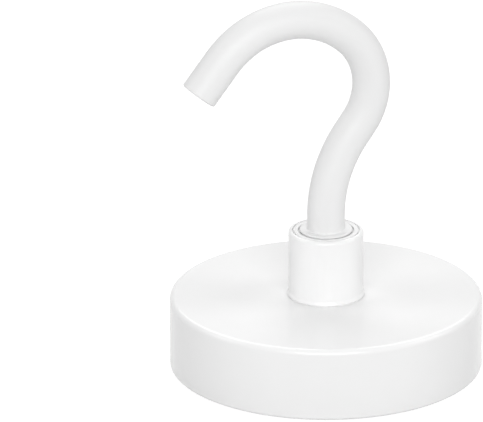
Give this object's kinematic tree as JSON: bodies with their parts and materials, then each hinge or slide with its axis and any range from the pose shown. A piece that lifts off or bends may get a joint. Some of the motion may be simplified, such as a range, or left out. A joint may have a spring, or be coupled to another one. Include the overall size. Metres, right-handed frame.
{
  "type": "magnetic hook",
  "caption": "White round pot magnet with a threaded bushing on its back and an open bent-wire hook that turns, for hanging things from a steel surface.",
  "frame": {"origin": "centre of the pot's rim face, where the hook meets the steel that it holds to", "axes": "+Z along the bushing's axis, away from the steel; the wire lies in the XZ plane and the hook opens towards -X"},
  "size_m": [0.032, 0.032, 0.0394],
  "materials": {
    "white_coat": "glossy white powder coat",
    "hook_coat": "glossy white powder coat",
    "nickel_plate": "satin nickel plating",
    "black_glue": "cured dark glue"
  },
  "bodies": {
    "base": {"steel_pot": "white_coat", "magnet_disc": "nickel_plate", "glue_bed": "black_glue", "threaded_bushing": "white_coat"},
    "hook": {"wire_hook": "hook_coat"}
  },
  "joints": [
    {"name": "hook_turn", "type": "hinge", "parent": "base", "child": "hook", "pos_m": [0, 0, 0.0145], "axis": [0, 0, 1], "range_deg": [-180, 180]}
  ]
}
